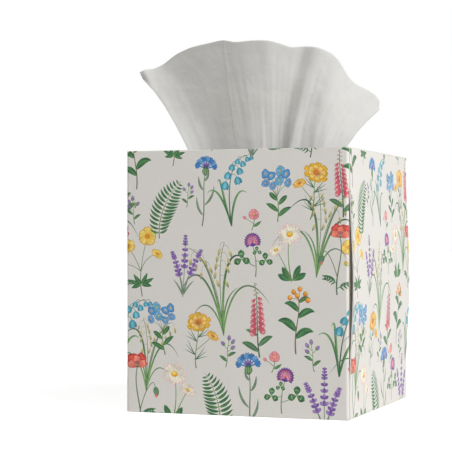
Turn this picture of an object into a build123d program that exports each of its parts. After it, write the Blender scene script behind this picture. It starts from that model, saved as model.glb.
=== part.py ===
from build123d import *
import os

# A cube tissue box: one folded and glued card carton, the clip of tissues inside it, and the tissue
# that stands in its opening. Millimetres: X runs along the front wall, Y to the back, Z up from the table.

# Carton: card thickness, and the radius inside its creased corners
BOX_WIDTH = 112.0
BOX_DEPTH = 112.0
BOX_HEIGHT = 126.5
CARD = 0.5
CREASE_RADIUS = 0.6

# The right-hand wall is the last panel of the blank. It is glued over a flap of the front wall near its
# two ends and bows out between them, so that its raw edge gapes
GLUE_FLAP = 14.0
SEAM_GAP = 0.3
BOW = 1.9
BOW_START = 9.0

# End flaps: a full outer flap on the front wall, a shorter one on the back wall, dust flaps at the sides
CARD_LAYERS = 3
FLAP_SETBACK = 0.25
FLAP_CREASE_LAND = 0.1
INNER_FLAP_SHORTFALL = 23.0
DUST_FLAP_REACH = 27.0
FLAP_TAPER = 6.0
FLAP_CLEARANCE = 0.6

# Oval opening: what is left of the top beside it and before and behind it
OPENING_SIDE_MARGIN = 10.0
OPENING_END_MARGIN = 30.0

# Clip of interfolded tissues, bent over its middle into an upside-down U
STACK_SIDE_CLEARANCE = 1.0
STACK_END_CLEARANCE = 5.5
HEADROOM = 13.0
STACK_SHOULDER = 20.0
STACK_BEND = 44.0
LEG_GAP = 2.0

# Pulled tissue: a fan turned about Z, gathered at its foot on the clip, held in by the opening's ends
# at its neck, and spread above the carton
FAN_TURN = 14.0
FAN_SHIFT = -2.0
NECK_CLEARANCE_LEFT = 5.0
NECK_CLEARANCE_RIGHT = 8.0
FOOT_GATHER = 5.0
FOLD_CLEARANCE = 18.0
SPREAD_LEFT = -80.0
SPREAD_RIGHT = 66.0
SPREAD_RISE = 64.0
SPREAD_DEPTH = 18.0
FOOT_FOLD_RADIUS = 1.2
SPREAD_FOLD_RADIUS = 5.0
TISSUE_BULK = 0.5

# Ridges and valleys of the fan: share of the foot's width, share of the spread's width, and the share of
# the fold depth that they lie behind the fan's plane at the foot and at the spread
FOLDS = (
    (0.00, 0.00, 0.74, 0.76),
    (0.23, 0.07, 0.63, 0.92),
    (0.31, 0.42, 0.34, -0.64),
    (0.46, 0.545, 0.11, -1.04),
    (0.545, 0.69, 0.20, -0.82),
    (0.62, 0.735, -0.61, -0.97),
    (0.76, 0.79, -0.68, -0.71),
    (0.82, 0.85, -0.81, -0.28),
    (1.00, 1.00, 0.19, 0.52),
)

# Free edges of the fan: places across it, and heights above the top of the carton
FAN_LEFT_EDGE = ((-50.0, 17.0), (-60.0, 33.0), (-69.5, 43.5))
FAN_TOP_EDGE = ((-49.5, 52.0), (-23.5, 57.2), (-6.0, 56.0), (18.0, 52.7), (31.0, 50.3), (39.0, 39.0))
FAN_RIGHT_CORNER = ((45.0, 34.2), (51.0, 30.2), (54.4, 25.0))
FAN_RIGHT_EDGE = ((48.0, 16.7), (42.0, 9.0))

# Sizes that follow from the ones above
FOLD_RADIUS = CARD + CREASE_RADIUS
SEAM_SETBACK = FOLD_RADIUS + SEAM_GAP
FLAP_FOLD_RADIUS = CARD - FLAP_CREASE_LAND
FRONT_FACE = -BOX_DEPTH / 2
INSIDE_WIDTH = BOX_WIDTH - 2 * CARD
INSIDE_DEPTH = BOX_DEPTH - 2 * CARD
FLAP_STACK = CARD_LAYERS * CARD
OPENING_LENGTH = BOX_WIDTH - 2 * OPENING_SIDE_MARGIN
OPENING_WIDTH = BOX_DEPTH - 2 * OPENING_END_MARGIN
STACK_WIDTH = INSIDE_WIDTH - 2 * STACK_SIDE_CLEARANCE
STACK_DEPTH = INSIDE_DEPTH - 2 * STACK_END_CLEARANCE
STACK_CROWN = BOX_HEIGHT - FLAP_STACK - HEADROOM
NECK_LEFT = NECK_CLEARANCE_LEFT - OPENING_LENGTH / 2
NECK_RIGHT = OPENING_LENGTH / 2 - NECK_CLEARANCE_RIGHT
FOOT_LEFT = NECK_LEFT + FOOT_GATHER
FOOT_RIGHT = NECK_RIGHT - FOOT_GATHER
FOOT_DROP = BOX_HEIGHT - STACK_CROWN
FOOT_DEPTH = OPENING_WIDTH / 2 - FOLD_CLEARANCE


def wall_profile(inset: float, bottom: float, top: float) -> Sketch:
    """Front view of the block inside the side walls, drawn in by the inset, with the right-hand wall's bow."""
    left = inset - BOX_WIDTH / 2
    right = BOX_WIDTH / 2 - inset
    bow_end = BOX_HEIGHT - BOW_START
    with BuildSketch(Plane.XZ) as profile:
        with BuildLine():
            Spline((right, BOW_START), (right + BOW, BOX_HEIGHT / 2), (right, bow_end), tangents=((0, 1), (0, 1)))
            Polyline((right, bow_end), (right, top), (left, top), (left, bottom), (right, bottom), (right, BOW_START))
        make_face()
    return profile.sketch


def upright_edges(block: BuildPart) -> ShapeList[Edge]:
    """Edges that rise along the corners of a block of walls."""
    return block.edges().filter_by(lambda edge: edge.bounding_box().size.Z > BOW_START / 2)


with BuildPart() as hollow:
    extrude(wall_profile(CARD, 0.0, BOX_HEIGHT), amount=INSIDE_DEPTH / 2, both=True)
    fillet(upright_edges(hollow), CREASE_RADIUS)

with BuildPart() as carton:
    # Four walls, creased at three corners
    extrude(wall_profile(0.0, CARD, BOX_HEIGHT - CARD), amount=BOX_DEPTH / 2, both=True)
    creased = upright_edges(carton).filter_by(lambda edge: edge.center().X < 0 or edge.center().Y > 0)
    fillet(creased, FOLD_RADIUS)
    add(hollow.part, mode=Mode.SUBTRACT)

    # Fourth corner: the front wall folds into the glue flap, and the right-hand wall stops short of the fold
    with BuildSketch(Plane.XY):
        with Locations((INSIDE_WIDTH / 2, FRONT_FACE)):
            Rectangle(CARD + BOW, SEAM_SETBACK, align=(Align.MIN, Align.MIN))
    extrude(amount=BOX_HEIGHT, mode=Mode.SUBTRACT)
    with BuildSketch(Plane.XY.offset(CARD)):
        with Locations((INSIDE_WIDTH / 2, FRONT_FACE)):
            Rectangle(CARD, GLUE_FLAP, align=(Align.MAX, Align.MIN))
    extrude(amount=BOX_HEIGHT - 2 * CARD)
    seam_corner = (INSIDE_WIDTH / 2, FRONT_FACE, BOX_HEIGHT / 2)
    fillet(carton.edges().filter_by(Axis.Z).sort_by_distance(seam_corner)[0], FOLD_RADIUS)

    # Glued end flaps, three layers at the top and three at the base
    for end_face, inward in ((BOX_HEIGHT, -1), (0.0, 1)):
        with BuildSketch(Plane.XY.offset(end_face)):
            with Locations((0, FRONT_FACE)):
                Rectangle(BOX_WIDTH - 2 * FLAP_SETBACK, BOX_DEPTH - FLAP_SETBACK, align=(Align.CENTER, Align.MIN))
        extrude(amount=inward * CARD)
        with BuildSketch(Plane.XY.offset(end_face + inward * CARD)):
            with BuildLine():
                side = INSIDE_WIDTH / 2 - FLAP_CLEARANCE
                hinge = (INSIDE_DEPTH + CARD) / 2
                free_edge = INNER_FLAP_SHORTFALL - INSIDE_DEPTH / 2
                Polyline(
                    (-side, hinge),
                    (side, hinge),
                    (side, free_edge + FLAP_TAPER),
                    (side - FLAP_TAPER, free_edge),
                    (FLAP_TAPER - side, free_edge),
                    (-side, free_edge + FLAP_TAPER),
                    close=True,
                )
            make_face()
        extrude(amount=inward * CARD)
        with BuildSketch(Plane.XY.offset(end_face + 2 * inward * CARD)):
            with BuildLine():
                side = INSIDE_DEPTH / 2 - FLAP_CLEARANCE
                hinge = (INSIDE_WIDTH + CARD) / 2
                free_edge = INSIDE_WIDTH / 2 - DUST_FLAP_REACH
                Polyline(
                    (-hinge, -side),
                    (-free_edge, FLAP_TAPER - side),
                    (-free_edge, side - FLAP_TAPER),
                    (-hinge, side),
                    close=True,
                )
            make_face()
            mirror(about=Plane.YZ)
        extrude(amount=inward * CARD)
    front_creases = carton.edges().filter_by(Axis.X).filter_by_position(Axis.Y, FRONT_FACE, FRONT_FACE)
    fillet(front_creases.group_by(Axis.Z)[0] + front_creases.group_by(Axis.Z)[-1], FLAP_FOLD_RADIUS)

    # Opening through every layer of the top
    with BuildSketch(Plane.XY.offset(BOX_HEIGHT)):
        Ellipse(OPENING_LENGTH / 2, OPENING_WIDTH / 2)
    extrude(amount=-FLAP_STACK - HEADROOM, mode=Mode.SUBTRACT)

with BuildPart() as tissue_stack:
    with BuildSketch(Plane.XZ):
        with Locations((0, STACK_CROWN)):
            Rectangle(STACK_WIDTH, STACK_CROWN - FLAP_STACK, align=(Align.CENTER, Align.MAX))
        fillet(vertices().group_by(Axis.Y)[-1], STACK_SHOULDER)
        with Locations((0, STACK_CROWN - STACK_BEND)):
            Rectangle(LEG_GAP, STACK_CROWN, align=(Align.CENTER, Align.MAX), mode=Mode.SUBTRACT)
    extrude(amount=STACK_DEPTH / 2, both=True)

with BuildPart() as pulled_tissue:
    across = Vector(1, 0, 0).rotate(Axis.Z, FAN_TURN)
    neck = Plane((0, FAN_SHIFT, BOX_HEIGHT), x_dir=across, z_dir=(0, 0, 1))
    fan = Plane(neck.origin, x_dir=across, z_dir=-neck.y_dir)

    # Gathered line on the clip and spread line above, joined by straight folds
    lines = (
        (-FOOT_DROP, FOOT_LEFT, FOOT_RIGHT, FOOT_DEPTH, FOOT_FOLD_RADIUS, 0),
        (SPREAD_RISE, SPREAD_LEFT, SPREAD_RIGHT, SPREAD_DEPTH, SPREAD_FOLD_RADIUS, 1),
    )
    for rise, left, right, depth, fold_radius, end in lines:
        front = [(left + fold[end] * (right - left), depth * fold[end + 2]) for fold in FOLDS]
        back = [(place, behind + TISSUE_BULK) for place, behind in front]
        with BuildSketch(neck.offset(rise)):
            with BuildLine():
                FilletPolyline(*front, radius=fold_radius)
                FilletPolyline(*back, radius=fold_radius)
                Line(front[0], back[0])
                Line(front[-1], back[-1])
            make_face()
    loft(ruled=True)

    # Trimmed to the sheet's free edges
    with BuildSketch(fan):
        with BuildLine():
            left_edge = Spline((FOOT_LEFT, -FOOT_DROP), (NECK_LEFT, 0), *FAN_LEFT_EDGE)
            top_edge = Spline(left_edge @ 1, *FAN_TOP_EDGE)
            corner = Spline(top_edge @ 1, *FAN_RIGHT_CORNER)
            right_edge = Spline(corner @ 1, *FAN_RIGHT_EDGE, (NECK_RIGHT, 0), (FOOT_RIGHT, -FOOT_DROP))
            Line(right_edge @ 1, left_edge @ 0)
        make_face()
    extrude(amount=BOX_DEPTH / 2, both=True, mode=Mode.INTERSECT)

os.makedirs("parts", exist_ok=True)
for name, piece in (("carton", carton), ("tissue_stack", tissue_stack), ("pulled_tissue", pulled_tissue)):
    piece.part.label = name
    export_step(piece.part, f"parts/{name}.step")
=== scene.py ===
import math
import random

import bpy
import numpy as np
from bpy.props import FloatProperty, FloatVectorProperty, IntProperty, PointerProperty
from mathutils import Euler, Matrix, Vector, geometry, noise


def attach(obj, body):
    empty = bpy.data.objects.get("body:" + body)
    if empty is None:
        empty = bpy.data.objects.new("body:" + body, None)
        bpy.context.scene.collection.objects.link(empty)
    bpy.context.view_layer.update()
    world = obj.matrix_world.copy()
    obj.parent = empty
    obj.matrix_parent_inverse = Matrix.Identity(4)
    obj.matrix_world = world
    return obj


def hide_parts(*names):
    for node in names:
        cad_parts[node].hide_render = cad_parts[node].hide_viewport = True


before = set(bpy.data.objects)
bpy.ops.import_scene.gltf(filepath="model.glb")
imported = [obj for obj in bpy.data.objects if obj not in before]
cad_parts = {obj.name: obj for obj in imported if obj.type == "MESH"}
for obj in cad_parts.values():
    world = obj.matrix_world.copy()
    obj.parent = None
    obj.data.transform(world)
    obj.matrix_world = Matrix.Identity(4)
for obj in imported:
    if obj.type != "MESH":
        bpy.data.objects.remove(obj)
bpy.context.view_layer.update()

bl_info = {
    "name": "Cube Tissue Box",
    "version": (1, 0, 0),
    "blender": (4, 5, 0),
    "location": "View3D > Sidebar > Tissue Box",
    "description": "Printed card carton, clip of tissues and the tissue that stands in its opening",
    "category": "Add Mesh",
}

MM = 0.001

# Least length of a line, so that nothing is divided by zero
TINY = 1e-9

# The carton's blank, in millimetres, as the solids have it
HALF_SIDE = 56.0
HEIGHT = 126.5
CARD = 0.5
FOLD_RADIUS = 1.1
FLAP_FOLD_RADIUS = 0.4
SEAM_SETBACK = 1.4
FLAP_SETBACK = 0.25
BOW_START = 9.0
OPENING_HALF_LENGTH = 46.0
OPENING_HALF_WIDTH = 26.0

# Unrolled places on the blank: a wall runs from the middle of one fold to the middle of the next
HALF_FOLD = FOLD_RADIUS * math.pi / 4
FLAT = 2 * (HALF_SIDE - FOLD_RADIUS)
TILE = FLAT + 2 * HALF_FOLD
FLAP_HALF_FOLD = FLAP_FOLD_RADIUS * math.pi / 4
FRONT_FLAT_END = HALF_FOLD + FLAT - CARD
FRONT_END = FRONT_FLAT_END + FOLD_RADIUS * math.pi / 2 + SEAM_SETBACK - FOLD_RADIUS
FRONT_BOTTOM = FLAP_FOLD_RADIUS - FLAP_HALF_FOLD
FRONT_TOP = HEIGHT - FRONT_BOTTOM
TOP_FLAT_START = FRONT_TOP + FLAP_HALF_FOLD
TOP_END = TOP_FLAT_START + 2 * HALF_SIDE - FLAP_FOLD_RADIUS - FLAP_SETBACK
SEAM_EDGE = HALF_FOLD + SEAM_SETBACK - FOLD_RADIUS

# Points round the rim of the opening, and levels at which the bowed wall is bent
OPENING_POINTS = 120
BOW_LEVELS = 15


def linear(code, alpha=1.0):
    """A colour written as sRGB hex, turned to linear values."""
    parts = [int(code[i:i + 2], 16) / 255 for i in (0, 2, 4)]
    return (*(p / 12.92 if p <= 0.04045 else ((p + 0.055) / 1.055) ** 2.4 for p in parts), alpha)


# Printing inks, as sRGB hex
INKS = {
    "coral": "EC6452", "coral_deep": "C43A38", "coral_pale": "F79A82",
    "rose": "E8707F", "rose_deep": "BF3F5C", "rose_pale": "F6AEB0",
    "blue": "3C86C6", "blue_deep": "1E5698", "blue_pale": "86BEE6",
    "aqua": "42AEC4", "aqua_deep": "1F82A0", "aqua_pale": "97D6DE",
    "violet": "8158AA", "violet_deep": "55317F", "violet_pale": "B79AD2",
    "yellow": "F4C636", "yellow_deep": "D9981E", "yellow_pale": "FBE486",
    "orange": "EE8E36", "orange_deep": "C65F20",
    "cream": "FBF5E4", "cream_deep": "D9CDB8",
    "green": "47854A", "green_deep": "1F5437", "green_pale": "8DBB6C",
    "sage": "7C9678", "sage_deep": "4C6B55", "sage_pale": "A9BC9C",
    "stem": "6C8450", "stem_brown": "8C6C50", "bark": "6E5140",
}


class Ink:
    """One flat shape of the print, shaded along a line from one ink to another."""

    def __init__(self, outline, near, far, start, end):
        self.outline = np.asarray(outline, float)
        self.near, self.far = (
            np.array(linear(INKS[ink])) if isinstance(ink, str) else ink for ink in (near, far)
        )
        self.start = np.asarray(start, float)
        self.end = np.asarray(end, float)

    def colours(self, points):
        line = self.end - self.start
        share = np.clip((points - self.start) @ line / max(line @ line, TINY), 0, 1)
        return self.near + (self.far - self.near) * share[:, None]


def heading(angle):
    """The unit vector at an angle in degrees."""
    turn = math.radians(angle)
    return np.array((math.cos(turn), math.sin(turn)))


def placed(inks, x=0.0, y=0.0, turn=0.0, size=1.0, flip=False, squash=1.0):
    """Copies of shapes, squashed in height, mirrored, turned in degrees, sized and moved."""
    along = heading(turn)
    across = np.array((-along[1], along[0]))
    grid = np.array((along * (-size if flip else size), across * size * squash))
    move = np.array((x, y))
    return [
        Ink(i.outline @ grid + move, i.near, i.far, i.start @ grid + move, i.end @ grid + move)
        for i in inks
    ]


def tones(ink):
    """The deep, the middle and the pale tone of an ink."""
    return ink + "_deep", ink, ink + "_pale"


def curve(*points, steps=12):
    """Points along the Bezier curve of these control points."""
    control = np.array(points, float)
    n = len(control) - 1
    t = np.linspace(0, 1, steps)[:, None]
    return sum(math.comb(n, i) * (1 - t) ** (n - i) * t ** i * control[i] for i in range(n + 1))


def sides(path):
    """Unit vectors to the left of a path at each of its points."""
    along = np.gradient(path, axis=0)
    along /= np.maximum(np.linalg.norm(along, axis=1, keepdims=True), TINY)
    return np.column_stack((-along[:, 1], along[:, 0]))


def ribbon(path, half, near, far):
    """A shape of the given half breadths along a path."""
    left = sides(path) * np.asarray(half)[:, None]
    return [Ink(np.concatenate((path + left, (path - left)[::-1])), near, far, path[0], path[-1])]


def stroke(path, first, last, near="stem", far="stem"):
    """A stem or thread whose breadth changes evenly."""
    return ribbon(path, np.linspace(first, last, len(path)) / 2, near, far)


def blade(path, breadth, near, far):
    """A grass blade: broad low down and drawn to a point."""
    t = np.linspace(0, 1, len(path))
    return ribbon(path, breadth / 2 * (0.35 + 0.65 * np.sqrt(t)) * (1.02 - t ** 2), near, far)


def belly(count, widest, fullness=0.8):
    """Half breadths of a petal or leaf from base to tip, as shares of the greatest."""
    t = np.linspace(0, 1, count)
    return np.sin(np.pi * t ** (math.log(0.5) / math.log(widest))) ** fullness + 0.01


def leaf(path, breadth, dark="green_deep", light="green", vein="green_pale", widest=0.42):
    """A leaf in two tones, parted by its vein."""
    edge = sides(path) * (belly(len(path), widest) * breadth / 2)[:, None]
    upper = Ink(np.concatenate((path, (path + edge)[::-1])), light, dark, path[0], path[-1])
    lower = Ink(np.concatenate((path, (path - edge)[::-1])), dark, light, path[0], path[-1])
    return [upper, lower, *stroke(path[: -len(path) // 5], 0.28, 0.1, vein, vein)]


def side_leaf(foot, bend, tip, breadth, *shades, steps=12):
    """A leaf from a place on a stem, with its bend and its tip given from there."""
    return leaf(curve(foot, foot + bend, foot + tip, steps=steps), breadth, *shades)


def petal(base, angle, length, breadth, rim, near, far, widest=0.62, notch=0.0, steps=9):
    """A petal with a deeper rim, from a base point outwards at an angle in degrees."""
    out = heading(angle)
    found = []
    for share, first, last in ((1.0, rim, rim), (0.84, near, far)):
        path = np.asarray(base, float) + out * np.linspace(0.02, length * (share + 1) / 2, steps)[:, None]
        path[-1] -= out * notch * length
        found += ribbon(path, belly(steps, widest, 0.62) * breadth * share / 2, first, last)
    return found


def fan_petal(base, angle, spread, length, rim, near, far, ruffle=0.05):
    """A broad petal that opens like a fan to a ruffled rim."""
    lean = np.linspace(-1, 1, 15)
    turn = np.radians(angle + lean * spread)
    out = np.column_stack((np.cos(turn), np.sin(turn)))
    found = []
    for share, first, last in ((1.0, rim, rim), (0.88, near, far)):
        reach = length * share * np.cos(lean * 1.46) ** 0.4 * (1 + ruffle * np.sin(lean * 9))
        outline = np.concatenate((base[None], base + out * reach[:, None]))
        found.append(Ink(outline, first, last, base, base + out[len(out) // 2] * length * share))
    return found


def dot(x, y, across, tall, near, far, steps=10):
    """A round or oval spot."""
    turn = np.linspace(0, 2 * np.pi, steps, endpoint=False)
    outline = np.column_stack((x + across / 2 * np.cos(turn), y + tall / 2 * np.sin(turn)))
    return [Ink(outline, near, far, (x, y - tall / 2), (x, y + tall / 2))]


def ring(count, length, breadth, rim, near, far, turn=0.0, inner=0.0, widest=0.62, notch=0.0):
    """A ring of like petals about the origin."""
    found = []
    for i in range(count):
        angle = turn + 360 * i / count
        reach = length * (1 + 0.09 * math.sin(2.4 * i + turn))
        found += petal(inner * heading(angle), angle, reach, breadth, rim, near, far, widest, notch)
    return found


def stamens(count, step, reach, across, near, far):
    """Small spots about the origin, one step of turn in radians apart."""
    found = []
    for i in range(count):
        found += dot(reach * math.cos(i * step), reach * math.sin(i * step), across, across, near, far, 6)
    return found


def poppy():
    """Coral cup on a bowed stem, with a nodding bud and cut leaves."""
    stem = curve((0, 0), (3, 13), (-3.5, 25), (0.5, 37))
    nod = curve((0.6, 11), (4, 22), (11, 33), (11.5, 24.5))
    inks = stroke(stem, 0.9, 0.6, "green_deep") + stroke(nod, 0.6, 0.4)
    inks += petal((11.5, 25), -82, 6.2, 3.6, "sage_deep", "green", "sage", 0.45)
    inks += petal((11.6, 20.6), -84, 2.4, 1.6, *tones("coral"), 0.4)
    for side, low, reach in ((-1, 4, 11), (1, 7, 9)):
        rib = curve((0.5, low), (side * reach * 0.5, low + 4), (side * reach, low + 3.5))
        inks += stroke(rib, 0.5, 0.2, "green_deep", "green")
        for at in (3, 5, 7, 9, 11):
            for way in (-1, 1):
                tip = rib[at] + (side * 2.2, way * (3.6 - at * 0.22))
                inks += leaf(curve(rib[at - 1], rib[at] + (0, way), tip, steps=6), 1.1)[:2]
    heart = np.array((0.5, 37.0))
    outer, inner = ("coral_deep", "coral"), ("coral", "coral_pale")
    for angle, spread, length, shades in (
        (118, 40, 9.4, outer), (62, 40, 9.4, outer), (90, 32, 8.2, inner),
        (148, 36, 7.4, inner), (32, 36, 7.4, inner),
    ):
        inks += fan_petal(heart, angle, spread, length, "coral_deep", *shades)
        for lean in (-0.5, 0.0, 0.5):
            tip = heart + heading(angle + lean * spread) * length * 0.72
            inks += stroke(np.array((heart, (heart + tip) / 2, tip)), 0.25, 0.08, "coral_deep", "coral")
    for i in range(9):
        reach = np.array((heart + (0, 1), heart + ((i - 4) * 0.42, 3.0 + (i % 2) * 0.6)))
        inks += stroke(reach, 0.2, 0.12, "bark", "bark")
        inks += dot(*reach[-1], 0.6, 0.6, "violet_deep", "bark", 6)
    return inks + dot(0.5, 38.0, 2.4, 2.0, "green_deep", "sage_pale")


def cornflower():
    """Blue fringed head over a scaly cup, on a grey-green stem with narrow leaves."""
    stem = curve((0, 0), (-2, 12), (2, 24), (0, 34))
    inks = stroke(stem, 0.8, 0.6, "sage_deep", "sage")
    for at, side, reach in ((2, 1, 12), (4, -1, 13), (7, 1, 9), (9, -1, 6)):
        across = side * reach * 0.45
        inks += side_leaf(stem[at], (across, reach * 0.35), (across, reach), 1.5, *tones("sage"))
    heart = np.array((0, 36.5))
    for i, angle in enumerate((165, 140, 117, 92, 66, 41, 16)):
        hub = heart + heading(angle) * 3.8
        inks += stroke(curve((0, 36), hub, steps=3), 0.5, 0.9, "blue_deep", "blue")
        tip = "blue_pale" if i % 2 else "blue"
        for spread in (-34, -11, 11, 34):
            length = 4.4 - abs(spread) * 0.02
            inks += petal(hub, angle + spread, length, 1.7, "blue_deep", "blue", tip, 0.6, steps=7)
    for i in range(11):
        thread = heading((i - 5) * 9)[::-1] * (3.6 + i % 3 * 0.5)
        inks += stroke(np.array((heart, heart + thread)), 0.35, 0.25, "violet_deep", "violet")
    inks += petal((0, 31.6), 90, 6, 4.6, "green_deep", "sage_deep", "green", 0.5)
    for row in range(3):
        for i in (-1, 0, 1):
            foot = (i * 1.15, 32.6 + row * 1.1)
            inks += petal(foot, 90 - i * 16, 1.5, 1.1, "bark", "green_pale", "sage", 0.5, steps=5)
    return inks


def lavender():
    """Three spikes of violet whorls on wiry stems over narrow leaves."""
    inks = []
    for lean, tall in ((-17, 33), (3, 40), (20, 30)):
        tip = heading(lean)[::-1] * tall
        stem = curve((0, 0), (tip[0] * 0.25, tip[1] * 0.5), tip, steps=22)
        inks += stroke(stem, 0.5, 0.3, "sage_deep", "sage")
        for k, at in enumerate((10, 12, 14, 16, 18, 19, 20, 21)):
            size = 1.15 - 0.08 * k
            for way in (-1, 0, 1):
                shades = ("violet_deep", "violet", "violet_pale" if (k + way) % 2 else "violet")
                inks += petal(stem[at], 90 - lean + way * 48, 3.1 * size, 1.7 * size, *shades, 0.6, steps=6)
    for side, reach, tall in ((-1, 7, 12), (1, 8, 11), (-1, 3.5, 16), (1, 4, 15)):
        path = curve((0, 0.5), (side * reach * 0.3, tall * 0.6), (side * reach, tall))
        inks += leaf(path, 1.2, *tones("sage"))
    return inks


def bluebell():
    """Arching stem hung with aqua bells, between strap leaves."""
    inks = []
    for x, tall, lean in ((-15, 27, -3), (13, 24, 2), (-7, 34, -5)):
        strap = curve((0, 0), (lean, tall * 0.7), (x * 0.6, tall * 1.1), (x, tall * 0.86), steps=16)
        shine = ((0.2, 0.5), (lean + 0.3, tall * 0.7), (x * 0.6, tall * 1.08), (x * 0.97, tall * 0.87))
        inks += blade(strap, 2.2, "green_deep", "green")
        inks += blade(curve(*shine, steps=14), 0.7, "green", "green_pale")
    stem = curve((0, 0), (-1, 20), (2, 46), (16, 45), steps=26)
    inks += stroke(stem, 0.9, 0.35, "green_deep")
    bells = ((13, -1), (14, 1), (16, -1), (17, 1), (19, -1), (20, 1), (22, -1), (23, 1), (25, 1))
    lobes = ((-21, "aqua_deep", "aqua"), (21, "aqua_deep", "aqua"), (0, "aqua", "aqua_pale"))
    for k, (at, side) in enumerate(bells):
        size = 1.12 - 0.065 * k
        foot = stem[at] + np.array((side * 3.3, -1.2 + k * 0.1)) * size
        stalk = curve(stem[at], stem[at] + (side * 1.6, 1.6), foot, steps=6)
        inks += stroke(stalk, 0.3, 0.3, "stem", "aqua_deep")
        for spread, near, far in lobes:
            angle = -90 + side * 14 + spread
            inks += petal(foot, angle, 5.6 * size, 2.7 * size, "aqua_deep", near, far, 0.55, steps=8)
    return inks


def buttercup():
    """Branched stem with yellow open cups, a bud and lobed leaves."""
    fork = np.array((0.4, 15.0))
    inks = stroke(curve((0, 0), (-1, 8), fork), 0.7, 0.5, "stem_brown")
    heads = ((-7, 31, 20, 1.0, 0.75), (6.5, 36, -12, 1.15, 0.9), (12, 25, -38, 0.8, 0.55))
    for x, y, *_ in heads:
        inks += stroke(curve(fork, (x * 0.3, 24), (x, y)), 0.45, 0.35)
    inks += stroke(curve(fork, (-3, 19), (-9.5, 20.5)), 0.4, 0.3)
    inks += petal((-9.3, 20), 100, 3.4, 2.6, "yellow_deep", "green_pale", "yellow", 0.5)
    for angle, length in ((160, 9), (125, 8), (196, 7), (20, 9), (55, 8), (-14, 7)):
        x, y = heading(angle) * length
        inks += leaf(curve((0, 7.5), (x * 0.5, 7.5 + y * 0.35), (x, 7.5 + y)), 2.6)
    bloom = ring(5, 5.0, 5.4, *tones("yellow"), 18, 0.4, 0.66)
    bloom += dot(0, 0, 3.0, 3.0, "yellow_deep", "orange")
    bloom += stamens(7, 0.9, 1.5, 0.6, "orange_deep", "yellow_deep")
    for x, y, lean, size, squash in heads:
        inks += placed(bloom, x, y, lean, size, squash=squash)
    return inks


def daisy():
    """Cream rays round a gold heart, on a bare stem over spoon leaves."""
    inks = []
    for x, y in ((-8, 5), (-5, 9), (6, 9), (9, 4)):
        inks += leaf(curve((0, 0.4), (x * 0.4, y * 0.3), (x, y), steps=10), 3.6, widest=0.66)
    bloom = ring(17, 6.4, 1.75, "rose_pale", "cream", "cream", 4, 1.2, 0.6)
    bloom += ring(15, 5.2, 1.6, "cream_deep", "cream", "cream", 15, 1.2, 0.6)
    bloom += dot(0, 0, 4.2, 4.2, "yellow_deep", "yellow", 14)
    bloom += dot(0.3, 0.5, 2.6, 2.4, "yellow", "yellow_pale")
    heads = (((1.5, 27), (-2, 14), 1.0, 0.82, 10), ((-7.5, 19), (-3, 10), 0.72, 0.6, 24))
    for tip, low, size, squash, lean in heads:
        inks += stroke(curve((0, 0), low, tip), 0.7, 0.45, "stem", "green_pale")
        inks += placed(bloom, *tip, lean, size, squash=squash)
    return inks


def clover():
    """Round violet and rose head over three-part leaves."""
    stem = curve((0, 0), (2, 8), (0, 18))
    inks = stroke(stem, 0.7, 0.5, "stem", "green_pale")
    for foot, hub, size in ((4, (-7.5, 11), 1.0), (6, (7, 9), 0.85), (10, (2.2, 14.6), 0.55)):
        hub = np.array(hub, float)
        inks += stroke(curve(stem[foot], (hub + stem[foot]) / 2 + (0, -1), hub, steps=6), 0.35, 0.3)
        for angle in (90, 205, -25):
            out = heading(angle) * 5.4 * size
            inks += leaf(curve(hub, hub + out * 0.5, hub + out, steps=8), 4.0 * size, widest=0.6)
            mark = hub + out * 0.5
            across = np.array((-out[1], out[0])) * 0.2
            band = curve(mark - across, mark + out * 0.14, mark + across, steps=5)
            inks += stroke(band, 0.5, 0.5, "green_pale", "sage_pale")
    centre = np.array((0, 20.5))
    inks += dot(*centre, 6.4, 5.8, "violet_deep", "violet", 14)
    whorls = (
        (15, 4.4, "violet_deep", "violet_deep", "violet"), (12, 3.6, "violet_deep", "violet", "rose"),
        (9, 2.8, "violet", "violet", "rose_pale"), (6, 1.9, "violet", "rose", "rose_pale"),
    )
    for row, (count, length, *shades) in enumerate(whorls):
        for i in range(count):
            angle = 215 - 250 * (i + 0.5 * (row % 2)) / (count - 0.5)
            base = centre + heading(angle) * (0.9 - 0.3 * row)
            inks += petal(base, angle, length, 1.5, *shades, 0.68, steps=6)
    return inks


def fern():
    """Arching frond with paired leaflets that shorten to the tip."""
    rib = curve((0, 0), (-4, 14), (2, 30), (10, 40), steps=34)
    inks = stroke(rib, 0.7, 0.2, "stem_brown", "green")
    across = sides(rib)
    for k in range(3, 33, 2):
        along = np.array((across[k][1], -across[k][0]))
        length = 9.2 * math.sin(math.pi * (0.14 + 0.83 * k / 33)) ** 0.8
        for side in (-1, 1):
            tip = rib[k] + across[k] * side * length + along * length * 0.42
            bend = rib[k] + across[k] * side * length * 0.6
            leaflet = leaf(curve(rib[k], bend, tip, steps=7), 1.9 * (0.5 + length / 18))
            inks += leaflet if k % 4 == 3 else leaflet[:2]
    return inks


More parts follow.
